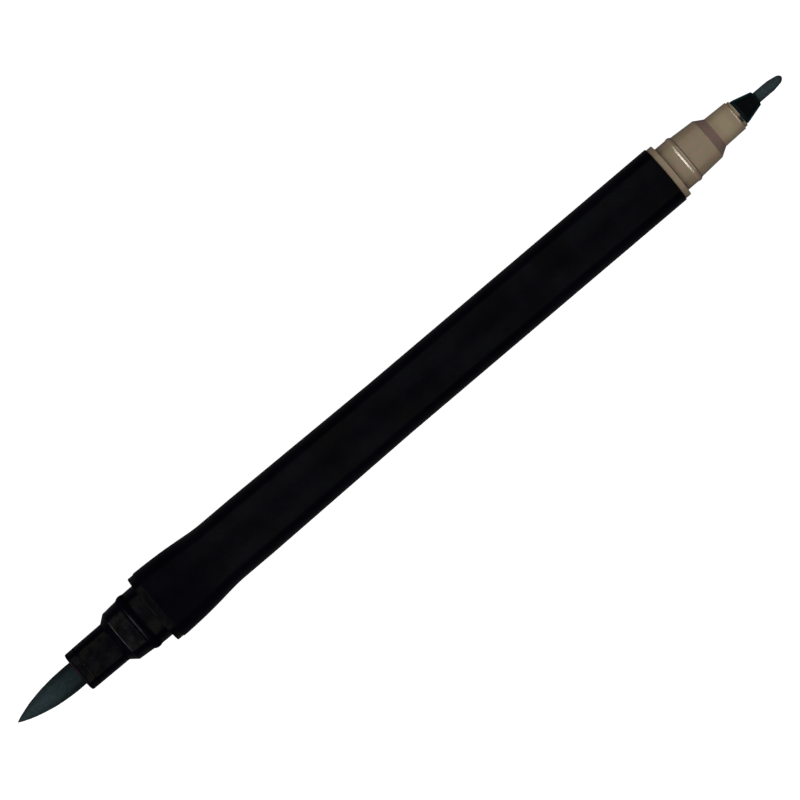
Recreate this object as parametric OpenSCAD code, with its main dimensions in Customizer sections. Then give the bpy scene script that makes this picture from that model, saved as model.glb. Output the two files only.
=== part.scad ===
// Double-ended felt tip marker: a fine bullet nib at the +X end, a flexible brush nib
// at the -X end, each with a push-on cap. The pen's axis is the X axis and the origin
// is on it, in the middle of the straight grip stretch. The caps are drawn pulled off.

/* [Barrel] */
// Length of the barrel tube
barrel_len = 103; // [90:0.5:120]
// Diameter of the straight half of the barrel, at the fine end
grip_d = 10.1; // [9.9:0.05:10.6]
// Diameter of the other half, ahead of the swell
waist_d = 10.8; // [10.5:0.05:11.4]
// Largest diameter of the swell at the brush end
swell_d = 12.5; // [12.4:0.05:13]
// Length of the swell
swell_len = 12.8; // [9:0.1:18]
// Length of the straight grip stretch at the fine end
grip_len = 56; // [40:1:66]

/* [Fine end] */
// Diameter of the fine collar's flange
fine_flange_d = 9.7; // [9:0.05:9.9]
// Thickness of the fine collar's flange
fine_flange_t = 1.15; // [0.6:0.05:1.6]
// Diameter of the seat that the fine cap slides over
fine_seat_d = 8.15; // [8:0.05:8.2]
// Diameter over the fine collar's snap bead
fine_bead_d = 8.35; // [8.3:0.05:8.45]
// Diameter of the fine collar's nose at its root
fine_nose_d = 5.4; // [5.2:0.05:5.6]
// Diameter of the fine nib
fine_nib_d = 1.85; // [1.2:0.05:2]
// Distance from the barrel to the end of the fine nib
fine_reach = 23.6; // [22:0.1:24.5]

/* [Brush end] */
// Diameter of the brush collar's flange
brush_flange_d = 12.3; // [11.6:0.05:12.35]
// Thickness of the brush collar's flange
brush_flange_t = 1.15; // [0.6:0.05:1.6]
// Diameter of the seat that the brush cap slides over
brush_seat_d = 9.85; // [9.7:0.05:9.95]
// Diameter over the brush collar's snap bead
brush_bead_d = 10.1; // [10.05:0.05:10.2]
// Diameter of the brush collar's nose at its root
brush_nose_d = 7.1; // [6.9:0.05:7.3]
// Diameter of the brush nib
brush_nib_d = 4.25; // [3.6:0.05:4.6]
// Distance from the brush flange's front to the brush's point
brush_reach = 27.3; // [25:0.1:28.5]

/* [Caps] */
// Length of the fine cap, end plug included
fine_cap_len = 30; // [29.5:0.5:36]
// Length of the brush cap, end plug included
brush_cap_len = 36; // [35:0.5:42]
// How far the fine cap is pulled off
fine_cap_travel = 40; // [0:1:60]
// How far the brush cap is pulled off
brush_cap_travel = 38; // [0:1:60]
// Width across the flats of the hexagonal end plugs
plug_flats = 12.5; // [12.4:0.05:13.5]
// Radial clearance between a cap and what it slides over
cap_gap = 0.07; // [0.05:0.01:0.1]

/* [Hidden] */
$fn = 96;

// The middle of the grip stretch is the origin, so the two barrel ends lie here
fine_face = grip_len / 2;
brush_face = fine_face - barrel_len;
brush_front = brush_face - brush_flange_t;

// Barrel bores: each holds the spigot of a collar, and the reservoir lies between them.
// The wider brush bore runs on past its spigot and then narrows to the fine bore.
fine_bore_r = 4.1;
brush_bore_r = 4.4;
spigot_len = 9.5;
bore_run_on = 3;
bore_cone_len = 2;
edge = 0.15;

// Swell: the neck before it, the curve's handles past its start, and its rim at the end.
// Pairs are [below the largest radius, place].
neck_len = 6;
swell_lead = 0.2;
swell_low_handle = 2.9;
swell_high_handle = [0.14, 5.2];
swell_rim = [0.05, 0.3];
swell_steps = 14;

// Reservoir and its film
reservoir_r = 3.7;
film_t = 0.08;
dip = 4;

// Fine collar: places are distances from the barrel's end face
fine_seat_end = 3.3;
fine_bead_at = 3.77;
bead_bend = 0.8;
fine_taper = [3.9, 3.635];
fine_cone_at = 8.55;
fine_nose_at = 10.1;
fine_nose_end = 14.2;
fine_lip_end = 14.75;
fine_draft = 0.115;
fine_nose_tip_r = fine_nose_d / 2 - fine_draft;
fine_spigot_wall = 0.8;
fine_lip_r = 2.39;
holder_r = 2.13;
holder_tip_r = 1.285;
holder_cone_at = 15.35;
holder_end = 18.4;
holder_back = 8.2;
holder_step_r = 2.55;
holder_step_end = 9.2;
holder_room_from = 7.85;

// Brush collar: places are distances from the flange's front
brush_bead_at = 2.8;
brush_bend = 1.39;
brush_taper = [4.75, 4.535];
brush_cone_at = 6.45;
brush_nose_at = 7.7;
brush_nose_end = 15.1;
brush_draft = 0.075;
brush_nose_tip_r = brush_nose_d / 2 - brush_draft;
brush_spigot_wall = 0.9;
brush_lip_edge = 0.3;
brush_nib_gap = 0.1;
web_len = 1.2;
sleeve_r = 2.85;
sleeve_from = 8.2;
sleeve_to = 14.5;
brush_straight_end = 16.6;
brush_fullness = 0.86;
brush_steps = 14;

// Fine nib's bullet end: its length and the handles of its curve, as [inwards, from the end]
bullet_len = 2.4;
bullet_handles = [[0.06, 1.3], [0.25, 0]];
bullet_steps = 12;

// Caps: places are distances from the mouth. spare is how far cuts and joined pieces overlap.
liner_wall = 1.05;
fine_liner_from = 8.42;
brush_liner_from = 7.1;
plug_head = 3.4;
plug_spigot = 1.4;
liner_floor = 1;
plug_corner = 0.6;
plug_round_r = plug_flats / 2 + plug_corner;
plug_edge = 0.5;
spare = 1;
dimple_r = 3;
dimple_depth = 0.6;
fine_cap_r = grip_d / 2;
brush_cap_r = swell_d / 2;
fine_cap_bore = fine_bead_d / 2 + cap_gap;
brush_cap_bore = brush_bead_d / 2 + cap_gap;

// Points of a cubic curve from a to d, as [radius, place]
function curve(a, b, c, d, n) =
    [for (i = [0:n]) let (t = i / n, s = 1 - t)
        s * s * s * a + 3 * s * s * t * b + 3 * s * t * t * c + t * t * t * d];

// Points of a rounded bead that rises from one radius and falls to another
function bead(at, top_r, bend, from_r, to_r, n = 12) =
    let (axis_r = top_r - bend,
         first = -acos((from_r - axis_r) / bend),
         last = acos((to_r - axis_r) / bend))
    [for (i = [0:n]) let (turn = first + (last - first) * i / n)
        [axis_r + bend * cos(turn), at + bend * sin(turn)]];

// A turned shape whose outline is [radius, place], with its places along +X or -X
module turned(outline, from = 0, way = 1) {
    translate([from, 0, 0])
        rotate([0, 90 * way, 0])
            rotate_extrude()
                polygon(outline);
}

// Black tube: straight at the fine end, then a slow cone, then the swell
module barrel() {
    swell_at = barrel_len - swell_len;
    outside = concat(
        [[grip_d / 2 - edge, 0], [grip_d / 2, edge], [grip_d / 2, grip_len],
         [waist_d / 2, swell_at - neck_len]],
        curve([waist_d / 2, swell_at - swell_lead], [waist_d / 2, swell_at + swell_low_handle],
              [swell_d / 2 - swell_high_handle[0], swell_at + swell_high_handle[1]],
              [swell_d / 2, barrel_len - swell_rim[1]], swell_steps),
        [[swell_d / 2 - swell_rim[0], barrel_len]]);
    bore_end = barrel_len - spigot_len - bore_run_on;
    inside = [[brush_bore_r, barrel_len], [brush_bore_r, bore_end],
              [fine_bore_r, bore_end - bore_cone_len], [fine_bore_r, 0]];
    color("#0b0a10") turned(concat(outside, inside), fine_face, -1);
}

// Taupe front of the fine end: spigot, flange, cap seat, bead, taper, cone, nose and lip
module fine_collar() {
    flange_r = fine_flange_d / 2;
    spigot_r = fine_bore_r - fine_spigot_wall;
    outside = concat(
        [[fine_bore_r, -spigot_len], [fine_bore_r, 0], [flange_r, 0],
         [flange_r, fine_flange_t], [fine_seat_d / 2, fine_flange_t]],
        bead(fine_bead_at, fine_bead_d / 2, bead_bend, fine_seat_d / 2, fine_taper[0]),
        [[fine_taper[1], fine_cone_at], [fine_nose_d / 2, fine_nose_at],
         [fine_nose_tip_r, fine_nose_end], [fine_lip_r, fine_nose_end],
         [fine_lip_r, fine_lip_end]]);
    inside = [[holder_r, fine_lip_end], [holder_r, holder_step_end],
              [holder_step_r, holder_step_end], [holder_step_r, holder_room_from],
              [spigot_r, holder_room_from], [spigot_r, -spigot_len]];
    color("#7d6d5b") turned(concat(outside, inside), fine_face);
}

// Black cone that grips the fine nib
module fine_nib_holder() {
    nib_r = fine_nib_d / 2;
    color("#0a1114") turned(
        [[nib_r, holder_back], [holder_step_r, holder_back],
         [holder_step_r, holder_step_end], [holder_r, holder_step_end],
         [holder_r, holder_cone_at], [holder_tip_r, holder_end], [nib_r, holder_end]],
        fine_face);
}

// Felt rod with a bullet end; its back end stands in the reservoir
module fine_nib() {
    nib_r = fine_nib_d / 2;
    back = -spigot_len - dip;
    outline = concat(
        [[0, back], [nib_r, back]],
        curve([nib_r, fine_reach - bullet_len], [nib_r, fine_reach] - bullet_handles[0],
              [nib_r, fine_reach] - bullet_handles[1], [0, fine_reach], bullet_steps));
    color("#2b3539") turned(outline, fine_face);
}

// Black front of the brush end
module brush_collar() {
    flange_r = brush_flange_d / 2;
    spigot_r = brush_bore_r - brush_spigot_wall;
    web_r = brush_nib_d / 2 + brush_nib_gap;
    back = -brush_flange_t;
    outside = concat(
        [[brush_bore_r, back - spigot_len], [brush_bore_r, back], [flange_r, back],
         [flange_r, 0], [brush_seat_d / 2, 0]],
        bead(brush_bead_at, brush_bead_d / 2, brush_bend, brush_seat_d / 2, brush_taper[0]),
        [[brush_taper[1], brush_cone_at], [brush_nose_d / 2, brush_nose_at],
         [brush_nose_tip_r, brush_nose_end - brush_lip_edge],
         [brush_nose_tip_r - brush_lip_edge, brush_nose_end]]);
    inside = [[sleeve_r, brush_nose_end], [sleeve_r, sleeve_from],
              [web_r, sleeve_from], [web_r, sleeve_from - web_len],
              [spigot_r, sleeve_from - 2 * web_len], [spigot_r, back - spigot_len]];
    color("#0d0c12") turned(concat(outside, inside), brush_front, -1);
}

// Sleeve in the brush collar's nose that grips the brush
module brush_nib_sleeve() {
    nib_r = brush_nib_d / 2;
    color("#15151b") turned(
        [[nib_r, sleeve_from], [sleeve_r, sleeve_from], [sleeve_r, sleeve_to],
         [nib_r, sleeve_to]],
        brush_front, -1);
}

// Long felt brush: a straight root, then an ogive that ends in a point
module brush_nib() {
    nib_r = brush_nib_d / 2;
    back = -brush_flange_t - spigot_len - dip;
    taper_len = brush_reach - brush_straight_end;
    outline = concat(
        [[0, back], [nib_r, back]],
        [for (i = [0:brush_steps]) let (u = i / brush_steps)
            [nib_r * pow(max(1 - u * u, 0), brush_fullness), brush_straight_end + taper_len * u]]);
    color("#26323a") turned(outline, brush_front, -1);
}

// Fibre rod that holds the ink, with a blind hole at each end for the nibs
module ink_reservoir() {
    rod_len = barrel_len - 2 * spigot_len;
    outline = [[fine_nib_d / 2, 0], [reservoir_r, 0], [reservoir_r, rod_len],
               [brush_nib_d / 2, rod_len], [brush_nib_d / 2, rod_len - dip],
               [0, rod_len - dip], [0, dip], [fine_nib_d / 2, dip]];
    color("#3a4854") turned(outline, fine_face - spigot_len, -1);
}

// Clear film wrapped around the fibre rod
module reservoir_film() {
    rod_len = barrel_len - 2 * spigot_len;
    outline = [[reservoir_r, 0], [reservoir_r + film_t, 0],
               [reservoir_r + film_t, rod_len], [reservoir_r, rod_len]];
    color("#c9d4da") turned(outline, fine_face - spigot_len, -1);
}

// Open tube of a cap, with its mouth at from
module cap_shell(outer_r, bore_r, len, from, way) {
    turned([[bore_r, 0], [outer_r - edge, 0], [outer_r, edge], [outer_r, len - plug_head],
            [bore_r, len - plug_head]], from, way);
}

// Inner cup of a cap, whose mouth closes on the collar's cone
module cap_liner(outer_r, len, start, from, way) {
    floor_at = len - plug_head - plug_spigot;
    turned([[outer_r - liner_wall, start], [outer_r, start], [outer_r, floor_at],
            [0, floor_at], [0, floor_at - liner_floor],
            [outer_r - liner_wall, floor_at - liner_floor]], from, way);
}

// Hexagonal end plug: a flat of the hexagon faces the table and keeps the pen from rolling
module cap_plug(spigot_r, len, from, way) {
    head_at = len - plug_head;
    union() {
        turned([[0, head_at - plug_spigot], [spigot_r, head_at - plug_spigot],
                [spigot_r, head_at + spare], [0, head_at + spare]], from, way);
        difference() {
            intersection() {
                translate([from + way * (head_at + plug_head / 2), 0, 0])
                    rotate([30, 0, 0])
                        rotate([0, 90, 0])
                            cylinder(h = plug_head, d = plug_flats / cos(30), center = true,
                                     $fn = 6);
                turned([[0, head_at], [plug_round_r - plug_edge, head_at],
                        [plug_round_r, head_at + plug_edge], [plug_round_r, len - plug_edge],
                        [plug_round_r - plug_edge, len], [0, len]], from, way);
            }
            turned([[0, len - dimple_depth], [dimple_r, len - dimple_depth],
                    [dimple_r, len + spare], [0, len + spare]], from, way);
        }
    }
}

// Mouths of the two caps where they are drawn, pulled off
fine_mouth = fine_face + fine_flange_t + fine_cap_travel;
brush_mouth = brush_front - brush_cap_travel;

module fine_cap_shell() {
    color("#101015") cap_shell(fine_cap_r, fine_cap_bore, fine_cap_len, fine_mouth, 1);
}

module fine_cap_liner() {
    color("#d8d4ca") cap_liner(fine_cap_bore, fine_cap_len, fine_liner_from, fine_mouth, 1);
}

module fine_cap_plug() {
    color("#2c3a42") cap_plug(fine_cap_bore, fine_cap_len, fine_mouth, 1);
}

module brush_cap_shell() {
    color("#101015") cap_shell(brush_cap_r, brush_cap_bore, brush_cap_len, brush_mouth, -1);
}

module brush_cap_liner() {
    color("#d8d4ca") cap_liner(brush_cap_bore, brush_cap_len, brush_liner_from, brush_mouth, -1);
}

module brush_cap_plug() {
    color("#2c3a42") cap_plug(brush_cap_bore, brush_cap_len, brush_mouth, -1);
}

barrel();
fine_collar();
fine_nib_holder();
fine_nib();
brush_collar();
brush_nib_sleeve();
brush_nib();
ink_reservoir();
reservoir_film();
fine_cap_shell();
fine_cap_liner();
fine_cap_plug();
brush_cap_shell();
brush_cap_liner();
brush_cap_plug();
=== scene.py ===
import math

import bmesh
import bpy
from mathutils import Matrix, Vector, noise


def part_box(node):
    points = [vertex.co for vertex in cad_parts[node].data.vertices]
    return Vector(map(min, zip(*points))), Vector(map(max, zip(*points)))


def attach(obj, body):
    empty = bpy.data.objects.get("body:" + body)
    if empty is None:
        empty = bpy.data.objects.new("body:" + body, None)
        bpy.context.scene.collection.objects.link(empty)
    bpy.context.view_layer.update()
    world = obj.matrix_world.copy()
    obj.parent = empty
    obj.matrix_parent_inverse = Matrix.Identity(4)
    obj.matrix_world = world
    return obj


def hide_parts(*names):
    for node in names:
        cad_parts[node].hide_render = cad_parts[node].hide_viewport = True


# Looks of a double-ended felt tip marker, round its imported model. The pen's axis is the X axis, with the fine
# nib at +X and the brush nib at -X, and its caps lie pulled off in line with it.

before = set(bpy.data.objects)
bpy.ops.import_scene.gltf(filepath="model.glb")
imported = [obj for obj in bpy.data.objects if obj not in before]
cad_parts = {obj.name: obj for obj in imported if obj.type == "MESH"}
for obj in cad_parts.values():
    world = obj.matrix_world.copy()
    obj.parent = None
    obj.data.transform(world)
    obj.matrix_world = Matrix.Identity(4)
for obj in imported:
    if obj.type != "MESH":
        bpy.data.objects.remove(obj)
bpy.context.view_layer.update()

MM = 0.001
TURN = 2 * math.pi

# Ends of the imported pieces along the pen, and the table under them, in metres
FINE_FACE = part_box("barrel")[1].x
BRUSH_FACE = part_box("barrel")[0].x
FINE_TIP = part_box("fine_nib")[1].x
BRUSH_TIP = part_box("brush_nib")[0].x
FINE_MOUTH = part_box("fine_cap_shell")[0].x
BRUSH_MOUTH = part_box("brush_cap_shell")[1].x
FLOOR_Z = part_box("brush_cap_plug")[0].z

# Sizes and places in mm. Places on the fine end are distances from the barrel's face, places on the brush end
# are distances from its flange's front, and places on a cap are distances from its mouth.
BARREL_LEN = (FINE_FACE - BRUSH_FACE) / MM
FLANGE_T = 1.15         # thickness of both collars' flanges
SPIGOT_LEN = 9.5        # how far both collars reach into the barrel
DIP = 4                 # how far both nibs reach into the reservoir
FINE_BORE_R = 4.1
BRUSH_BORE_R = 4.4
SLACK = 0.05            # how far a spigot or its bore stays clear of their shared radius
FIT = 0.02              # gap left between visible pieces whose faces meet

FINE_CONE_AT = 8.55
FINE_NOSE_AT = 10.1
FINE_NOSE_END = 14.2
FINE_LIP_END = 14.75
HOLDER_STEP_END = 9.2
HOLDER_END = 18.4

BRUSH_BEAD_AT = 2.8
BRUSH_NOSE_AT = 7.7
BRUSH_RIDGE_AT = 13.42
BRUSH_NOSE_END = 15.1
SLEEVE_FROM = 8.2
BRUSH_NIB_R = 2.125

PLUG_FLATS = 12.5       # width across the flats of the hexagonal end plugs
PLUG_HEAD = 3.4
PLUG_SPIGOT = 1.4

# Places on the brush end again, as metres along the pen
BRUSH_FRONT = BRUSH_FACE - FLANGE_T * MM
BEAD = BRUSH_FRONT - BRUSH_BEAD_AT * MM
NOSE_FOOT = BRUSH_FRONT - BRUSH_NOSE_AT * MM
RIDGE = BRUSH_FRONT - BRUSH_RIDGE_AT * MM
NOSE_END = BRUSH_FRONT - BRUSH_NOSE_END * MM


# ---------------------------------------------------------------- outlines

ARC_STEPS = 7           # segments in every rounded edge
ARC_SHARE = 0.45        # how much of the shorter side beside it an arc may take
ALMOST_FLAT = 0.01      # a corner that turns less than this many radians isn't rounded
LONGEST = 1.2           # longest segment, in mm
MARGIN = 0.05           # distance of the points that support a straight run's ends, in mm


def rounded(corners, closed):
    """An outline of (place, radius, rounding) corners, in mm, with its corners turned into arcs."""
    out = []
    count = len(corners)
    for i, corner in enumerate(corners):
        here = Vector(corner[:2])
        fillet = corner[2] if len(corner) > 2 else 0
        at_end = not closed and i in (0, count - 1)
        if at_end or fillet <= 0:
            out.append(here)
            continue
        before = Vector(corners[i - 1][:2]) - here
        after = Vector(corners[(i + 1) % count][:2]) - here
        half = before.angle(after) / 2
        if half > math.pi / 2 - ALMOST_FLAT:
            out.append(here)
            continue
        reach = min(fillet / math.tan(half), before.length * ARC_SHARE, after.length * ARC_SHARE)
        radius = reach * math.tan(half)
        inwards = (before.normalized() + after.normalized()).normalized()
        middle = here + inwards * (radius / math.sin(half))
        first = here + before.normalized() * reach - middle
        last = here + after.normalized() * reach - middle
        sweep = first.angle_signed(last)
        for step in range(ARC_STEPS + 1):
            turn = -sweep * step / ARC_STEPS
            c, s = math.cos(turn), math.sin(turn)
            out.append(middle + Vector((first.x * c - first.y * s, first.x * s + first.y * c)))
    return out


def supported(points, closed):
    """The same outline with points close to the ends of its straight runs, so that they shade flat."""
    out = []
    pairs = list(zip(points, points[1:] + points[:1] if closed else points[1:]))
    for a, b in pairs:
        out.append(a)
        run = (b - a).length
        if run > 4 * MARGIN:
            out.append(a.lerp(b, MARGIN / run))
            steps = max(1, round(run / LONGEST))
            out.extend(a.lerp(b, k / steps) for k in range(1, steps))
            out.append(a.lerp(b, 1 - MARGIN / run))
    if not closed:
        out.append(points[-1])
    return out


def straight(a, b, steps):
    """Even corners along a line from a up to, and without, b."""
    return [tuple(a[k] + (b[k] - a[k]) * i / steps for k in (0, 1)) for i in range(steps)]


def curve(a, b, c, d, steps):
    """Corners along a cubic curve from a to d, with handles b and c."""
    out = []
    for i in range(steps + 1):
        t = i / steps
        s = 1 - t
        place, radius = (s**3 * a[k] + 3 * s * s * t * b[k] + 3 * s * t * t * c[k] + t**3 * d[k]
                         for k in (0, 1))
        out.append((place, radius))
    return out


def bead(at, top, bend, before, after, foot):
    """Corners of a snap bead that stands on one radius and falls to another."""
    steps = 16
    axis = top - bend
    first = -math.acos((before - axis) / bend)
    last = math.acos((after - axis) / bend)
    turns = [first + (last - first) * i / steps for i in range(steps + 1)]
    points = [(at + bend * math.sin(t), axis + bend * math.cos(t)) for t in turns]
    return [(*points[0], foot), *points[1:-1], (*points[-1], foot)]


# ---------------------------------------------------------------- meshes

AROUND = 224            # segments round a turned piece
NIB_AROUND = 160        # round the thin fine nib
PLUG_AROUND = 288       # round a hexagonal plug
ON_AXIS = 1e-5          # a point nearer the axis than this, in mm, lies on it


def new_object(name, verts, faces):
    mesh = bpy.data.meshes.new(name)
    mesh.from_pydata(verts, [], faces)
    mesh.validate()
    mesh.polygons.foreach_set("use_smooth", [True] * len(mesh.polygons))
    piece = bpy.data.objects.new(name, mesh)
    bpy.context.scene.collection.objects.link(piece)
    return piece


def turned(name, corners, face, way, closed=True, shape=None, around=AROUND):
    """A turned piece, whose places run from face along +X or -X, as way is 1 or -1.

    shape(place, radius, angle) may change a radius."""
    points = supported(rounded(corners, closed), closed)
    verts, rings = [], []
    for point in points:
        along = face + way * point.x * MM
        if point.y < ON_AXIS:
            rings.append([len(verts)] * around)
            verts.append((along, 0, 0))
            continue
        rings.append(list(range(len(verts), len(verts) + around)))
        for k in range(around):
            angle = TURN * k / around
            radius = shape(point.x, point.y, angle) if shape else point.y
            verts.append((along, radius * MM * math.cos(angle), radius * MM * math.sin(angle)))
    faces = []
    pairs = list(zip(rings, rings[1:] + rings[:1] if closed else rings[1:]))
    for a, b in pairs:
        for k in range(around):
            n = (k + 1) % around
            quad = [a[k], a[n], b[n], b[k]] if way < 0 else [a[k], b[k], b[n], a[n]]
            corner = list(dict.fromkeys(quad))
            if len(corner) > 2:
                faces.append(corner)
    piece = new_object(name, verts, faces)
    outward(piece)
    return piece


def outward(piece):
    """Turns every face of a closed mesh outwards."""
    work = bmesh.new()
    work.from_mesh(piece.data)
    bmesh.ops.recalc_face_normals(work, faces=work.faces)
    work.to_mesh(piece.data)
    work.free()


def frayed(depth_mm, size_mm, start):
    """A change of radius that makes a felt surface slightly uneven past start, in lumps of size_mm that are
    longer along the pen. It grows over the first half millimetre and dies away towards a point."""
    grow_over, point_r, squeeze = 0.5, 0.3, 0.25
    dimension, lacunarity, octaves, middle = 0.8, 2.0, 3, 0.1

    def shape(place, radius, angle):
        if place < start:
            return radius
        spot = Vector((place * squeeze, radius * math.cos(angle), radius * math.sin(angle))) / size_mm
        grip = min(1.0, (place - start) / grow_over) * min(1.0, radius / point_r)
        return radius + depth_mm * grip * (noise.fractal(spot, dimension, lacunarity, octaves) - middle)
    return shape


def bent(piece, root, tip, sideways):
    """Bends a felt tip a little to one side, more and more towards its point."""
    curl = 1.6
    for vert in piece.data.vertices:
        part = (vert.co.x - root) / (tip - root)
        if part > 0:
            vert.co.y += sideways * part ** curl


def softened(a, b):
    """The smaller of two lengths in mm, with a rounded change from one to the other."""
    blend = 0.12
    h = max(blend - abs(a - b), 0) / blend
    return min(a, b) - h * h * blend / 4


def hexagon(flats):
    """A change of radius that cuts a turned piece to a hexagon, with flats at its top and bottom."""
    def shape(place, radius, angle):
        side = angle % (math.pi / 3) - math.pi / 6
        return softened(radius, flats / 2 / math.cos(side))
    return shape


def finished(piece, body, node, material):
    """Hands a piece over: the body it rides on, the CAD node it stands for and its material."""
    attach(piece, body)
    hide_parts(node)
    piece.data.materials.append(material)


def carry_over(node, material):
    """A CAD piece inside the barrel whose shape is right gets its material."""
    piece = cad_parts[node]
    piece.data.materials.clear()
    piece.data.materials.append(material)


# ---------------------------------------------------------------- materials

class Nodes:
    """A small helper that adds and joins the nodes of one material, or of the world."""

    def __init__(self, name, world=None):
        self.material = world or bpy.data.materials.new(name)
        self.material.use_nodes = True
        self.tree = self.material.node_tree
        self.shader = self.tree.nodes["Background" if world else "Principled BSDF"]
        self.place = self.add("ShaderNodeTexCoord").outputs["Generated" if world else "Object"]

    def add(self, kind, **values):
        node = self.tree.nodes.new(kind)
        for key, value in values.items():
            setattr(node, key, value)
        return node

    def link(self, source, socket):
        self.tree.links.new(source, socket)

    def set(self, **values):
        """Sets the shader's own sockets: underscores stand for spaces."""
        for key, value in values.items():
            self.shader.inputs[key.replace("_", " ")].default_value = value

    def fibres(self, share):
        """Places for a noise whose grains are 1 / share times longer along the pen."""
        node = self.add("ShaderNodeMapping")
        node.inputs["Scale"].default_value = (share, 1, 1)
        self.link(self.place, node.inputs["Vector"])
        return node.outputs["Vector"]

    def noise(self, size_mm, detail, rough=0.55, vector=None):
        node = self.add("ShaderNodeTexNoise")
        node.inputs["Scale"].default_value = 1 / (size_mm * MM)
        node.inputs["Detail"].default_value = detail
        node.inputs["Roughness"].default_value = rough
        self.link(vector or self.place, node.inputs["Vector"])
        return node.outputs["Fac"]

    def ramp(self, source, stops):
        """A colour ramp: stops are (position, colour) pairs."""
        node = self.add("ShaderNodeValToRGB")
        while len(node.color_ramp.elements) < len(stops):
            node.color_ramp.elements.new(0.5)
        for element, (position, colour) in zip(node.color_ramp.elements, stops):
            element.position = position
            element.color = (*colour, 1)
        self.link(source, node.inputs["Fac"])
        return node.outputs["Color"]

    def span(self, source, low, high, to_low=0.0, to_high=1.0):
        """Goes smoothly from to_low to to_high, as source goes from low to high."""
        node = self.add("ShaderNodeMapRange", interpolation_type="SMOOTHSTEP")
        for key, value in (("From Min", low), ("From Max", high), ("To Min", to_low), ("To Max", to_high)):
            node.inputs[key].default_value = value
        self.link(source, node.inputs["Value"])
        return node.outputs["Result"]

    def maths(self, operation, a, b=0.0):
        node = self.add("ShaderNodeMath", operation=operation)
        for k, value in enumerate((a, b)):
            if isinstance(value, (int, float)):
                node.inputs[k].default_value = value
            else:
                self.link(value, node.inputs[k])
        return node.outputs["Value"]

    def times(self, first, *others):
        for other in others:
            first = self.maths("MULTIPLY", first, other)
        return first

    def plus(self, first, *others):
        for other in others:
            first = self.maths("ADD", first, other)
        return first

    def mix(self, factor, a, b, blend="MIX"):
        node = self.add("ShaderNodeMix", data_type="RGBA", blend_type=blend)
        for socket, value in ((node.inputs[0], factor), (node.inputs[6], a), (node.inputs[7], b)):
            if isinstance(value, (int, float)):
                socket.default_value = value
            elif isinstance(value, tuple):
                socket.default_value = (*value, 1)
            else:
                self.link(value, socket)
        return node.outputs[2]

    def distance(self, point_mm):
        """Distance in metres from a point, which is given in mm."""
        node = self.add("ShaderNodeVectorMath", operation="DISTANCE")
        self.link(self.place, node.inputs[0])
        node.inputs[1].default_value = tuple(v * MM for v in point_mm)
        return node.outputs["Value"]

    def along(self, axis="X"):
        node = self.add("ShaderNodeSeparateXYZ")
        self.link(self.place, node.inputs["Vector"])
        return node.outputs[axis]

    def steepness(self):
        """Zero along the pen's top and bottom, and one along its sides."""
        across, up = self.along("Y"), self.along("Z")
        radius = self.maths("POWER", self.plus(self.times(across, across), self.times(up, up)), 0.5)
        return self.maths("DIVIDE", self.maths("ABSOLUTE", across), radius)

    def band(self, start, end, soft_mm=0.03):
        """One between two places along the pen, in metres, and nothing elsewhere."""
        soft = soft_mm * MM
        after = self.span(self.along(), start - soft, start + soft)
        return self.times(after, self.span(self.along(), end + soft, end - soft))

    def bump(self, height, depth_mm, strength, under=None):
        node = self.add("ShaderNodeBump")
        node.inputs["Strength"].default_value = strength
        node.inputs["Distance"].default_value = depth_mm * MM
        self.link(height, node.inputs["Height"])
        if under:
            self.link(under, node.inputs["Normal"])
        self.link(node.outputs["Normal"], self.shader.inputs["Normal"])
        return node.outputs["Normal"]

    def colour(self, source):
        self.link(source, self.shader.inputs["Base Color"])

    def roughness(self, source):
        self.link(source, self.shader.inputs["Roughness"])


def black_plastic(name, tone, rough, wave_mm, mirror, worst, patch_mm, marks=(), dull=()):
    """Moulded black plastic, with faint colour drift in waves of wave_mm, hairline rubs and a little dust.

    rough is its lowest and highest roughness. Its gloss is mirror, and falls to worst of that in patches.
    marks are stains that run round the piece near a point: (start, end, centre, reach in mm, colour).
    dull are stretches of less gloss: (start, end, loss), and may add how softly they end, in mm."""
    haze = tuple(v * f for v, f in zip(tone, (1.5, 2.2, 1.6)))
    dust_grey = (0.09, 0.09, 0.085)
    m = Nodes(name)
    drift = m.noise(wave_mm, detail=3)
    patch = m.noise(patch_mm, detail=4, rough=0.6)
    grain = m.noise(0.12, detail=5, rough=0.7)
    rubs = m.noise(0.09, detail=3, rough=0.6, vector=m.fibres(0.05))
    dust = m.span(m.noise(0.11, detail=1, rough=0.5), 0.785, 0.81)

    base = m.mix(m.span(drift, 0.38, 0.62), tone, haze)
    base = m.mix(m.times(dust, 0.5), base, dust_grey)
    for start, end, centre, reach_mm, colour in marks:
        near = m.span(m.distance(centre), reach_mm * MM, reach_mm * 0.4 * MM)
        ragged = m.span(m.noise(0.3, detail=3), 0.36, 0.56)
        base = m.mix(m.times(near, ragged, m.band(start, end)), base, colour)
    m.colour(base)

    low, high = rough
    m.roughness(m.span(m.plus(m.times(drift, 0.6), m.times(rubs, 0.4)), 0.35, 0.65, low, high))
    m.set(IOR=1.5, Specular_IOR_Level=mirror)
    shine = m.span(patch, 0.36, 0.62, mirror * worst, mirror)
    for start, end, loss, *soft_mm in dull:
        lost = m.times(m.band(start, end, *soft_mm), loss)
        shine = m.times(shine, m.maths("SUBTRACT", 1.0, lost))
    m.link(shine, m.shader.inputs["Specular IOR Level"])
    waves = m.bump(drift, depth_mm=0.05, strength=0.25)
    m.bump(m.plus(grain, m.times(rubs, 0.6)), depth_mm=0.004, strength=0.5, under=waves)
    return m.material


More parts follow.
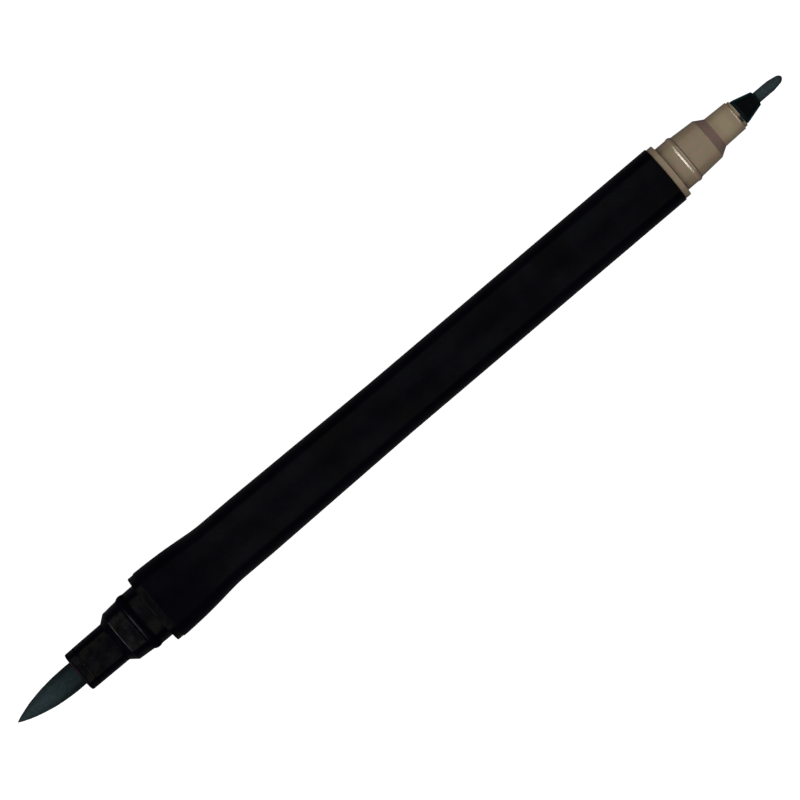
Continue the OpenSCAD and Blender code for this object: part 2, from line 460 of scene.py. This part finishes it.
def taupe_plastic():
    """Satin taupe plastic: olive and pink drift, patches of several sizes, painted shade as a dark groove at
    the flange and a dark line at the bead's foot, a painted pinkish shade tint on the cone, a painted yellowish
    highlight on the nose, and ink spatter on the lip."""
    olive, taupe, pink = (0.292, 0.284, 0.168), (0.372, 0.268, 0.184), (0.455, 0.236, 0.196)
    painted_highlight_colour, ink_black = (0.50, 0.43, 0.26), (0.006, 0.002, 0.003)
    m = Nodes("collar_taupe")
    cloud = m.noise(0.27, detail=4, rough=0.65)
    speckle = m.noise(0.13, detail=4, rough=0.65)
    base = m.ramp(cloud, [(0.38, olive), (0.5, taupe), (0.62, pink)])

    # Patches: where one starts and is full, its strength, and its colour
    patches = [(m.noise(2.2, detail=2), 0.38, 0.62, 0.35, (0.340, 0.258, 0.172)),
               (speckle, 0.4, 0.7, 0.35, (0.440, 0.350, 0.240)),
               (m.noise(0.9, detail=3), 0.42, 0.62, 0.45, (0.300, 0.272, 0.158)),
               (m.noise(1.3, detail=2), 0.52, 0.64, 0.30, (0.430, 0.262, 0.215))]
    for patch, low, high, strength, colour in patches:
        base = m.mix(m.span(patch, low, high, 0.0, strength), base, colour)

    # Painted shade: darker colour in the groove and at the bead's foot, and a pinkish shade tint on the cone:
    # start, end and softness in mm, and the factor
    painted_shade_tints = [(FLANGE_T, FLANGE_T + 0.13, 0.04, (0.40, 0.32, 0.34)),
             (4.09, 4.22, 0.05, (0.85, 0.74, 0.80)),
             (FINE_CONE_AT, FINE_NOSE_AT, 0.03, (0.98, 0.89, 1.10))]
    for start, end, soft_mm, factor in painted_shade_tints:
        ring = m.band(FINE_FACE + start * MM, FINE_FACE + end * MM, soft_mm)
        base = m.mix(ring, base, factor, "MULTIPLY")
    # Painted highlight: a broad yellowish reflection lightens the nose's colour.
    glow = m.band(FINE_FACE + 11.0 * MM, FINE_FACE + 13.0 * MM, 0.7)
    base = m.mix(m.times(glow, 0.3), base, painted_highlight_colour)

    spatter = (FINE_FACE / MM + 14.5, -1.0, 2.18)
    near = m.span(m.distance(spatter), 0.85 * MM, 0.45 * MM)
    on_lip = m.band((spatter[0] - 0.3) * MM, (spatter[0] + 0.4) * MM)
    blots = m.span(m.noise(0.3, detail=3, rough=0.6), 0.36, 0.39)
    m.colour(m.mix(m.times(near, on_lip, blots), base, ink_black))
    m.roughness(m.span(speckle, 0.3, 0.7, 0.12, 0.19))
    m.set(IOR=1.48, Specular_IOR_Level=0.9, Coat_Weight=0.6, Coat_Roughness=0.1,
          Sheen_Weight=0.2, Sheen_Roughness=0.28)
    clouds = m.bump(cloud, depth_mm=0.01, strength=0.25)
    m.bump(m.noise(0.06, detail=3, rough=0.6), depth_mm=0.003, strength=0.5, under=clouds)
    return m.material


def smoky_plastic():
    """Ink-dark holder: near black, with painted light, cool as if it came through, on its rim, root and sides,
    and a few white specks."""
    deep, dim = (0.0002, 0.0002, 0.0009), (0.0006, 0.0012, 0.0020)
    root_painted_light, rim_painted_light = (0.0070, 0.0125, 0.0155), (0.0035, 0.0065, 0.0085)
    side_painted_light = (0.0045, 0.0115, 0.0150)
    speck_grey, cool_sheen = (0.22, 0.24, 0.24), (0.38, 0.78, 0.88, 1)
    m = Nodes("holder_black")
    base = m.ramp(m.noise(0.5, detail=3), [(0.3, deep), (0.7, dim)])
    # Painted light: cool lighter colour at the root, the rim and the sides, as if light came through.
    root = m.band(FINE_FACE + 14.7 * MM, FINE_FACE + 15.3 * MM, 0.06)
    base = m.mix(root, base, root_painted_light)
    rim = m.band(FINE_FACE + (HOLDER_END - 0.25) * MM, FINE_FACE + (HOLDER_END + 0.2) * MM, 0.1)
    base = m.mix(rim, base, rim_painted_light)
    base = m.mix(m.span(m.steepness(), 0.55, 0.9), base, side_painted_light)
    specks = m.span(m.noise(0.10, detail=1, rough=0.4), 0.765, 0.79)
    m.colour(m.mix(m.times(specks, 0.8), base, speck_grey))
    m.roughness(m.span(m.noise(0.2, detail=3), 0.3, 0.7, 0.28, 0.42))
    m.set(IOR=1.45, Specular_IOR_Level=0.05, Sheen_Weight=0.9, Sheen_Roughness=0.27,
          Sheen_Tint=cool_sheen)
    m.bump(m.noise(0.15, detail=4), depth_mm=0.004, strength=0.5)
    return m.material


def felt(name, tone, root, dry, fibre_mm, soak_and_shadow, shade=0.0):
    """Dense felt whose fibres run along the pen. Ink soaking together with a painted shadow under the holder
    darkens it by soak at root and no longer at dry. Painted shade darkens its sides by shade, most of all near
    root."""
    dark = tuple(v * 0.48 for v in tone)
    light = tuple(v * 1.6 for v in tone)
    ink_and_shadow_colour, shadow = (0.003, 0.006, 0.008), (0.002, 0.004, 0.005)
    m = Nodes(name)
    strands = m.noise(fibre_mm, detail=5, rough=0.65, vector=m.fibres(0.3))
    knots = m.noise(fibre_mm * 1.7, detail=4, rough=0.7)
    cloud = m.noise(0.7, detail=4)
    base = m.ramp(m.plus(m.times(strands, 0.4), m.times(knots, 0.6)),
                  [(0.36, dark), (0.5, tone), (0.66, light)])
    base = m.mix(m.span(cloud, 0.38, 0.62, 0.0, 0.35), base, dark)
    # Ink soaking and a painted shadow under the holder darken the root.
    base = m.mix(m.span(m.along(), root, dry, soak_and_shadow, 0.0), base, ink_and_shadow_colour)
    # Painted shade: darker sides, most of all near the root.
    sides = m.span(m.steepness(), 0.35, 0.85, 0.0, shade)
    near_root = m.span(m.along(), root, dry, 1.0, 0.35)
    m.colour(m.mix(m.times(sides, near_root), base, shadow))
    m.roughness(m.span(knots, 0.3, 0.7, 0.78, 0.95))
    m.set(Specular_IOR_Level=0.05)
    m.bump(m.plus(strands, m.times(knots, 0.8)), depth_mm=0.02, strength=0.7)
    return m.material


def plain_plastic(name, tone, rough, grain_mm=0.2, through=0.0):
    """Satin moulded plastic with a drift in tone and a fine grain. through says how milky it is."""
    dark = tuple(v * 0.88 for v in tone)
    light = tuple(v * 1.12 for v in tone)
    low, high = rough
    m = Nodes(name)
    m.colour(m.ramp(m.noise(1.8, detail=4), [(0.3, dark), (0.5, tone), (0.7, light)]))
    m.roughness(m.span(m.noise(0.5, detail=3), 0.3, 0.7, low, high))
    m.set(IOR=1.48, Specular_IOR_Level=0.45, Subsurface_Weight=through)
    if through:
        m.set(Subsurface_Radius=(0.0012, 0.0010, 0.0008), Subsurface_Scale=0.6)
    m.bump(m.noise(grain_mm, detail=4), depth_mm=0.004, strength=0.6)
    return m.material


def fibre_rod():
    """Bonded fibres of the ink reservoir."""
    m = Nodes("reservoir_fibre")
    strands = m.noise(0.12, detail=5, rough=0.7, vector=m.fibres(0.08))
    m.colour(m.ramp(strands, [(0.3, (0.02, 0.03, 0.04)), (0.7, (0.07, 0.09, 0.12))]))
    m.set(Roughness=0.85)
    m.bump(strands, depth_mm=0.03, strength=0.8)
    return m.material


def clear_film():
    """Thin clear wrap round the reservoir."""
    m = Nodes("film_clear")
    m.colour(m.ramp(m.noise(1.5, detail=3), [(0.3, (0.72, 0.77, 0.80)), (0.7, (0.84, 0.88, 0.9))]))
    m.set(Roughness=0.12, Transmission_Weight=0.85, IOR=1.45)
    m.bump(m.noise(2.5, detail=3), depth_mm=0.03, strength=0.5)
    return m.material


# Stretches of less gloss: the barrel's swell, and the brush collar's bead, flange rim, nose foot, ridge and
# mouth
SWELL_DULL = [(BRUSH_FACE - 3 * MM, BRUSH_FACE + 8 * MM, 0.55, 2.5)]
COLLAR_DULL = [(BEAD - 0.95 * MM, BEAD + 0.75 * MM, 0.8), (BEAD - 0.39 * MM, BEAD + 0.75 * MM, 0.9),
               (BEAD - 0.95 * MM, BEAD - 0.54 * MM, 0.9),
               (BRUSH_FRONT - 0.05 * MM, BRUSH_FRONT + 0.2 * MM, 0.82),
               (NOSE_FOOT - 0.2 * MM, NOSE_FOOT + 0.2 * MM, 0.85),
               (RIDGE - 0.15 * MM, RIDGE + 0.15 * MM, 0.93),
               (NOSE_END - 0.1 * MM, NOSE_END + 0.45 * MM, 0.85)]
# On the top of the brush collar: a short rust-coloured line along its ridge, and an old ink stain, wine red,
# round its mouth
RUST, WINE = (0.030, 0.012, 0.004), (0.060, 0.002, 0.008)
STAINS = [(RIDGE - 0.05 * MM, RIDGE + 0.05 * MM, (RIDGE / MM, -0.6, 3.5), 2.1, RUST),
          (NOSE_END, NOSE_END + 0.1 * MM, (NOSE_END / MM, 1.4, 3.1), 2.4, WINE)]

barrel_black = black_plastic("barrel_black", (0.0017, 0.0011, 0.0032), rough=(0.12, 0.22), wave_mm=6,
                             mirror=0.16, worst=0.75, patch_mm=5, dull=SWELL_DULL)
collar_black = black_plastic("collar_black", (0.0016, 0.0010, 0.0030), rough=(0.08, 0.15), wave_mm=2.5,
                             mirror=0.33, worst=0.4, patch_mm=1.4, marks=STAINS, dull=COLLAR_DULL)
cap_black = black_plastic("cap_black", (0.0030, 0.0028, 0.0040), rough=(0.16, 0.28), wave_mm=5,
                          mirror=0.33, worst=0.8, patch_mm=4)
collar_taupe = taupe_plastic()
holder_black = smoky_plastic()
nib_felt = felt("nib_felt", (0.0410, 0.0580, 0.0635), root=FINE_FACE + (HOLDER_END + 0.05) * MM,
                dry=FINE_FACE + (HOLDER_END + 0.35) * MM, fibre_mm=0.11, soak_and_shadow=0.6)
brush_felt = felt("brush_felt", (0.0285, 0.0450, 0.0500), root=NOSE_END, dry=BRUSH_FRONT - 22 * MM,
                  fibre_mm=0.09, soak_and_shadow=0.55, shade=0.65)
sleeve_black = plain_plastic("sleeve_black", (0.006, 0.006, 0.008), rough=(0.4, 0.55))
liner_natural = plain_plastic("liner_natural", (0.66, 0.64, 0.58), rough=(0.35, 0.5), grain_mm=0.3,
                              through=0.25)
plug_slate = plain_plastic("plug_slate", (0.030, 0.046, 0.058), rough=(0.3, 0.42))
reservoir_fibre = fibre_rod()
film_clear = clear_film()


# ---------------------------------------------------------------- the pen

def make_barrel():
    """Black tube: straight at the fine end, where it laps over the collar's flange, then a slow cone, then
    the swell."""
    grip_r, waist_r, swell_r = 5.05, 5.4, 6.25
    grip_len, neck_len, swell_len = 56, 6, 12.8
    lap, lap_bore_r = 0.11, 4.8
    brush_bore_r = BRUSH_BORE_R + SLACK
    swell_at = BARREL_LEN - swell_len
    bore_end = BARREL_LEN - SPIGOT_LEN - 3
    swell = curve((swell_at - 0.2, waist_r), (swell_at + 2.9, waist_r),
                  (swell_at + 5.2, swell_r - 0.14), (BARREL_LEN - 0.35, swell_r), steps=40)
    outside = [(-lap, grip_r, 0.1), (grip_len, grip_r), (swell_at - neck_len, waist_r), *swell,
               (BARREL_LEN, swell_r - 0.015, 0.04)]
    inside = [(BARREL_LEN, brush_bore_r), (bore_end, brush_bore_r), (bore_end - 2, FINE_BORE_R),
              (0, FINE_BORE_R), (0, lap_bore_r), (-lap, lap_bore_r + 0.04)]
    piece = turned("pen_barrel", outside + inside, FINE_FACE, -1)
    finished(piece, "pen", "barrel", barrel_black)


def make_fine_collar():
    """Taupe front of the fine end: spigot, flange, groove, seat, bead, taper, cone, nose, groove and lip."""
    spigot_r, flange_r, groove_r, seat_r = FINE_BORE_R - SLACK, 4.85, 3.98, 4.08
    nose_r, nose_rim_r, lip_groove_r, lip_r = 2.71, 2.62, 2.37, 2.4
    holder_r, step_r, room_r, room_from = 2.135, 2.6, 3.3, 7.85
    outside = [(-SPIGOT_LEN, spigot_r), (FIT, spigot_r),
               (FIT, flange_r - 0.03), (0.14, flange_r, 0.05), (FLANGE_T, flange_r, 0.07),
               (FLANGE_T, groove_r, 0.02), (FLANGE_T + 0.07, groove_r, 0.02),
               (FLANGE_T + 0.09, seat_r, 0.03),
               *bead(3.67, top=4.175, bend=0.8, before=seat_r - 0.005, after=3.9, foot=0.22),
               (FINE_CONE_AT, 3.645, 0.07), (FINE_NOSE_AT, nose_r, 0.06),
               (FINE_NOSE_END - 0.2, nose_rim_r - 0.015, 0.05), (FINE_NOSE_END - 0.15, nose_rim_r, 0.03),
               (FINE_NOSE_END, nose_rim_r - 0.02, 0.04),
               (FINE_NOSE_END, lip_groove_r, 0.02), (FINE_NOSE_END + 0.05, lip_groove_r, 0.02),
               (FINE_NOSE_END + 0.07, lip_r, 0.03), (FINE_LIP_END, lip_r - 0.005, 0.08)]
    inside = [(FINE_LIP_END, holder_r), (HOLDER_STEP_END, holder_r), (HOLDER_STEP_END, step_r),
              (room_from, step_r), (room_from, room_r), (-SPIGOT_LEN, room_r)]
    piece = turned("fine_front", outside + inside, FINE_FACE, 1)
    finished(piece, "pen", "fine_collar", collar_taupe)


def make_fine_holder():
    """Black cone that grips the fine nib, with a step inside the collar, a low ring where it leaves the
    collar, and a rounded rim."""
    bore_r, step_r, neck_r, ring_r, rim_r = 0.93, 2.54, 2.125, 2.145, 1.295
    back, ring_at, cone_at = 8.2, 14.9, 15.4
    step_end = HOLDER_STEP_END - FIT
    outline = [(back, bore_r), (back, step_r, 0.08), (step_end, step_r), (step_end, neck_r),
               (ring_at - 0.04, neck_r, 0.03), (ring_at, ring_r, 0.03), (ring_at + 0.3, ring_r, 0.05),
               (ring_at + 0.35, ring_r - 0.03, 0.03), (cone_at, 2.1, 0.2),
               (HOLDER_END - 0.08, rim_r, 0.07), (HOLDER_END, rim_r - 0.055, 0.05),
               (HOLDER_END, bore_r + 0.15, 0.05), (HOLDER_END + 0.1, bore_r + 0.02, 0.04),
               (HOLDER_END + 0.1, bore_r)]
    piece = turned("fine_nib_cone", outline, FINE_FACE, 1)
    finished(piece, "pen", "fine_nib_holder", holder_black)


def make_fine_nib():
    """Felt rod whose end tapers to a bullet point; its back end stands in the reservoir."""
    nib_r, root_r, bullet_r = 0.93, 0.925, 0.682
    back, root_end = -SPIGOT_LEN - DIP, 8
    reach = (FINE_TIP - FINE_FACE) / MM
    shoulder, bullet = reach - 2.25, reach - 0.75
    rod = straight((HOLDER_END, nib_r), (shoulder, nib_r), 18)
    slope = straight((shoulder, nib_r), (bullet, bullet_r), 8)
    point = curve((bullet, bullet_r), (bullet + 0.3, 0.63), (reach - 0.02, 0.36), (reach, 0.0), 24)
    outline = [(back, 0), (back, root_r), (root_end, root_r), *rod, (*slope[0], 0.5), *slope[1:], *point]
    piece = turned("fine_point", outline, FINE_FACE, 1, closed=False,
                   shape=frayed(0.02, 0.5, HOLDER_END + 0.3), around=NIB_AROUND)
    finished(piece, "pen", "fine_nib", nib_felt)


def make_brush_collar():
    """Black front of the brush end: spigot, flange, groove, seat, bead, taper, cone, nose and a fine ridge
    before its mouth."""
    spigot_r, flange_r, groove_r, seat_r = BRUSH_BORE_R - SLACK, 6.12, 4.86, 4.925
    cone_at, nose_r, ridge_r, mouth_r = 6.45, 3.55, 3.508, 3.475
    sleeve_r, web_r, room_r, web_len = 2.86, 2.23, 3.5, 1.2
    flange_back = FIT - FLANGE_T
    back = -FLANGE_T - SPIGOT_LEN
    outside = [(back, spigot_r), (flange_back, spigot_r),
               (flange_back, flange_r, 0.04), (0, flange_r, 0.12),
               (0, groove_r, 0.03), (0.1, groove_r, 0.03), (0.12, seat_r, 0.04),
               *bead(BRUSH_BEAD_AT, top=5.05, bend=1.39, before=seat_r - 0.02, after=4.75, foot=0.35),
               (cone_at, 4.535, 0.13), (BRUSH_NOSE_AT, nose_r, 0.1),
               (BRUSH_RIDGE_AT - 0.04, ridge_r - 0.008, 0.03), (BRUSH_RIDGE_AT - 0.01, ridge_r, 0.04),
               (BRUSH_RIDGE_AT + 0.06, ridge_r - 0.011, 0.04), (BRUSH_NOSE_END, mouth_r, 0.42)]
    inside = [(BRUSH_NOSE_END, sleeve_r, 0.12), (SLEEVE_FROM, sleeve_r), (SLEEVE_FROM, web_r),
              (SLEEVE_FROM - web_len, web_r), (SLEEVE_FROM - 2 * web_len, room_r), (back, room_r)]
    piece = turned("brush_front", outside + inside, BRUSH_FRONT, -1)
    finished(piece, "pen", "brush_collar", collar_black)


def make_brush_sleeve():
    """Sleeve in the brush collar's nose that grips the brush."""
    bore_r, outer_r, end = BRUSH_NIB_R + 0.015, 2.85, 14.6
    outline = [(SLEEVE_FROM, bore_r), (SLEEVE_FROM, outer_r), (end, outer_r, 0.08), (end, bore_r, 0.15)]
    piece = turned("brush_grip", outline, BRUSH_FRONT, -1)
    finished(piece, "pen", "brush_nib_sleeve", sleeve_black)


def make_brush_nib():
    """Long felt brush: a straight root, then an ogive, closely stepped near its point, which leans a little
    to one side."""
    back, root_end, root_r = -FLANGE_T - SPIGOT_LEN - DIP, 8, 2.12
    dense_from, straight_end = 14.0, 16.6
    fullness, crowding, steps = 0.86, 1.3, 80
    lean = 0.18 * MM
    reach = (BRUSH_FRONT - BRUSH_TIP) / MM
    ogive = []
    for i in range(steps + 1):
        u = 1 - (1 - i / steps) ** crowding
        ogive.append((straight_end + (reach - straight_end) * u,
                      BRUSH_NIB_R * max(1 - u * u, 0) ** fullness))
    rod = straight((dense_from, BRUSH_NIB_R), (straight_end, BRUSH_NIB_R), 12)
    outline = [(back, 0), (back, root_r), (root_end, root_r), *rod, *ogive]
    piece = turned("brush_point", outline, BRUSH_FRONT, -1, closed=False,
                   shape=frayed(0.028, 0.55, BRUSH_NOSE_END - 0.3))
    bent(piece, BRUSH_FRONT - straight_end * MM, BRUSH_TIP, lean)
    finished(piece, "pen", "brush_nib", brush_felt)


# ---------------------------------------------------------------- the caps

def make_cap_tube(end, face, way, outer, bore, head):
    """Open tube with a rounded mouth, a shallow ring cut near it and a step before its plug. The mouth stops
    just short of the collar's flange when the cap is on."""
    mouth, ring_at, ring_depth, step_depth = 0.03, 1.5, 0.08, 0.12
    outline = [(mouth, bore + 0.1, 0.1), (mouth, outer, 0.16),
               (ring_at, outer, 0.02), (ring_at + 0.05, outer - ring_depth, 0.03),
               (ring_at + 0.3, outer - ring_depth, 0.03), (ring_at + 0.35, outer, 0.02),
               (head - 0.55, outer, 0.02), (head - 0.5, outer - step_depth, 0.03),
               (head - FIT, outer - step_depth), (head - FIT, bore), (0.5, bore)]
    tube = turned(end + "_cap_tube", outline, face, way)
    finished(tube, end + "_cap", end + "_cap_shell", cap_black)


def make_cap_cup(end, face, way, bore, head, start):
    """Inner cup whose mouth closes on the collar's cone and seals the nib."""
    inner, outer, floor_t = bore - 1.05, bore - FIT, 1
    floor = head - PLUG_SPIGOT
    outline = [(start, inner, 0.1), (start, outer, 0.1), (floor, outer), (floor, 0),
               (floor - floor_t, 0), (floor - floor_t, inner, 0.5)]
    cup = turned(end + "_cap_cup", outline, face, way)
    finished(cup, end + "_cap", end + "_cap_liner", liner_natural)


def make_cap_button(end, face, way, bore, head):
    """Hexagonal end plug, with a round dimple in its end and a small pip in the middle of the dimple."""
    spigot_r, corner_r = bore - FIT, PLUG_FLATS / 2 + 0.6
    dimple_r, dimple_depth, pip_r, pip_high = 3.0, 0.6, 0.8, 0.25
    spigot_end, end_at = head - PLUG_SPIGOT + FIT, head + PLUG_HEAD
    floor = end_at - dimple_depth
    outline = [(spigot_end, 0), (spigot_end, spigot_r), (head, spigot_r),
               (head, corner_r, 0.45), (end_at, corner_r, 0.55), (end_at, dimple_r, 0.12),
               (floor, dimple_r, 0.25), (floor, pip_r + 0.3, 0.1), (floor + pip_high, pip_r, 0.15),
               (floor + pip_high, 0)]
    button = turned(end + "_cap_button", outline, face, way, closed=False, shape=hexagon(PLUG_FLATS),
                    around=PLUG_AROUND)
    finished(button, end + "_cap", end + "_cap_plug", plug_slate)


def make_cap(end, face, way, outer, bore, length, liner_from):
    """One push-on cap: outer and bore are radii, and liner_from is where its inner cup starts."""
    head = length - PLUG_HEAD
    make_cap_tube(end, face, way, outer, bore, head)
    make_cap_cup(end, face, way, bore, head, liner_from)
    make_cap_button(end, face, way, bore, head)


make_barrel()
make_fine_collar()
make_fine_holder()
make_fine_nib()
make_brush_collar()
make_brush_sleeve()
make_brush_nib()
carry_over("ink_reservoir", reservoir_fibre)
carry_over("reservoir_film", film_clear)
make_cap("fine", FINE_MOUTH, 1, outer=5.05, bore=4.245, length=30, liner_from=8.42)
make_cap("brush", BRUSH_MOUTH, -1, outer=6.25, bore=5.12, length=36, liner_from=7.1)


# ---------------------------------------------------------------- floor, light and camera

# Brightness of the tent for matt surfaces: everywhere, more from above, more from the brush end's side
TENT_BASE, TENT_UP, TENT_SIDE = 0.04, 1.05, 0.95
# Brightness that glossy surfaces mirror: the ceiling, the table below, two strip lamps across the pen, and a
# window beyond its fine end
CEILING, TABLE, STRIP, FAR_STRIP, WINDOW = 0.19, 0.048, 6.8, 0.35, 2.2
CEILING_TINT, TABLE_TINT, LAMP_TINT = (0.88, 1.0, 0.66), (1.0, 1.0, 1.0), (1.0, 1.0, 0.9)


def make_floor():
    """A pale floor that the caps stand on. It glows a little, lights nothing and isn't mirrored."""
    reach = 8           # metres
    grey, glow = 0.55, 0.86
    floor = new_object("floor", [(-reach, -reach, FLOOR_Z), (reach, -reach, FLOOR_Z),
                                 (reach, reach, FLOOR_Z), (-reach, reach, FLOOR_Z)], [(0, 1, 2, 3)])
    m = Nodes("pale_floor")
    m.set(Base_Color=(grey, grey, grey, 1), Roughness=1.0, Specular_IOR_Level=0.0,
          Emission_Color=(1, 1, 1, 1), Emission_Strength=glow)
    floor.data.materials.append(m.material)
    floor.visible_glossy = False
    floor.visible_diffuse = False


def strip_lamp(m, lean, cross, middle, half, split):
    """A curved strip lamp, mirrored by faces that lean by middle towards the fine end. split parts it
    lengthwise into two tubes that spread towards its ends."""
    off = m.maths("ABSOLUTE", m.maths("SUBTRACT", lean, middle))
    tube = m.span(off, half, half * 0.8)
    spread = m.times(m.maths("SUBTRACT", cross, 0.1), split)
    gap = m.span(m.maths("SUBTRACT", spread, off), 0.0, 0.06)
    return m.times(tube, m.maths("SUBTRACT", 1.0, gap), m.span(cross, 0.67, 0.55))


def mirrored_studio(m, x, y, z):
    """What glossy surfaces see in direction x, y, z. lean and cross say how far a face that mirrors it up to
    the camera leans along the pen and across it."""
    double = m.maths("POWER", m.plus(m.times(z, 2.0), 2.0001), 0.5)
    lean = m.maths("DIVIDE", x, double)
    cross = m.maths("ABSOLUTE", m.maths("DIVIDE", y, double))
    level = m.span(m.maths("ABSOLUTE", lean), 0.2, 0.13)
    ceiling = m.times(m.span(z, 0.02, 0.2, 0.0, CEILING), m.span(cross, 0.0, 0.45, 0.5, 1.0), level)
    table = m.span(z, -0.05, -0.75, 0.0, TABLE)
    near = strip_lamp(m, lean, cross, middle=-0.31, half=0.175, split=0.30)
    far = strip_lamp(m, lean, cross, middle=0.26, half=0.04, split=0.0)
    window = m.times(m.span(lean, 0.3, 0.34), m.span(lean, 0.44, 0.4), m.span(z, 0.05, 0.3))
    beyond = m.plus(m.times(far, FAR_STRIP), m.times(window, WINDOW))
    lamps = m.plus(m.times(near, STRIP), beyond)
    strength = m.plus(ceiling, table, lamps)
    colour = m.mix(m.span(z, -0.2, 0.0), TABLE_TINT, CEILING_TINT)
    colour = m.mix(m.span(lamps, 0.0, 0.5), colour, LAMP_TINT)
    return strength, colour


def make_world():
    """A studio tent: soft light from above and from the brush end's side for matt surfaces; a dim ceiling,
    a dark horizon, a table, two strip lamps and a window in reflections; and a white backdrop."""
    world = bpy.data.worlds.new("studio")
    bpy.context.scene.world = world
    m = Nodes("studio", world)
    split = m.add("ShaderNodeSeparateXYZ")
    m.link(m.place, split.inputs["Vector"])
    x, y, z = (split.outputs[axis] for axis in "XYZ")
    rays = m.add("ShaderNodeLightPath").outputs

    soft = m.add("ShaderNodeBackground")
    tilt = m.plus(m.times(z, TENT_UP), m.times(x, -TENT_SIDE), TENT_BASE)
    m.link(m.maths("MAXIMUM", tilt), soft.inputs["Strength"])
    strength, colour = mirrored_studio(m, x, y, z)
    m.link(strength, m.shader.inputs["Strength"])
    m.link(colour, m.shader.inputs["Color"])
    white = m.add("ShaderNodeBackground")
    white.inputs["Color"].default_value = (1, 1, 1, 1)

    shade = m.add("ShaderNodeMixShader")
    m.link(rays["Is Glossy Ray"], shade.inputs["Fac"])
    m.link(soft.outputs[0], shade.inputs[1])
    m.link(m.shader.outputs[0], shade.inputs[2])
    seen = m.add("ShaderNodeMixShader")
    m.link(rays["Is Camera Ray"], seen.inputs["Fac"])
    m.link(shade.outputs[0], seen.inputs[1])
    m.link(white.outputs[0], seen.inputs[2])
    m.link(seen.outputs[0], m.tree.nodes["World Output"].inputs["Surface"])


def make_camera(roll_deg, width_mm, middle_x):
    """Looks straight down at the pen's axis at middle_x, turned so that +X points up and to the right by
    roll_deg. The picture is width_mm across."""
    data = bpy.data.cameras.new("camera")
    data.lens = 300
    data.sensor_width = 36
    data.clip_start, data.clip_end = 0.01, 30
    camera = bpy.data.objects.new("camera", data)
    camera.location = (middle_x, 0, width_mm * MM * data.lens / data.sensor_width)
    camera.rotation_euler = (0, 0, -math.radians(roll_deg))
    bpy.context.scene.collection.objects.link(camera)
    bpy.context.scene.camera = camera


make_floor()
make_world()
make_camera(roll_deg=40.3, width_mm=124, middle_x=(FINE_TIP + BRUSH_TIP) / 2)
bpy.context.scene.view_settings.view_transform = "Standard"
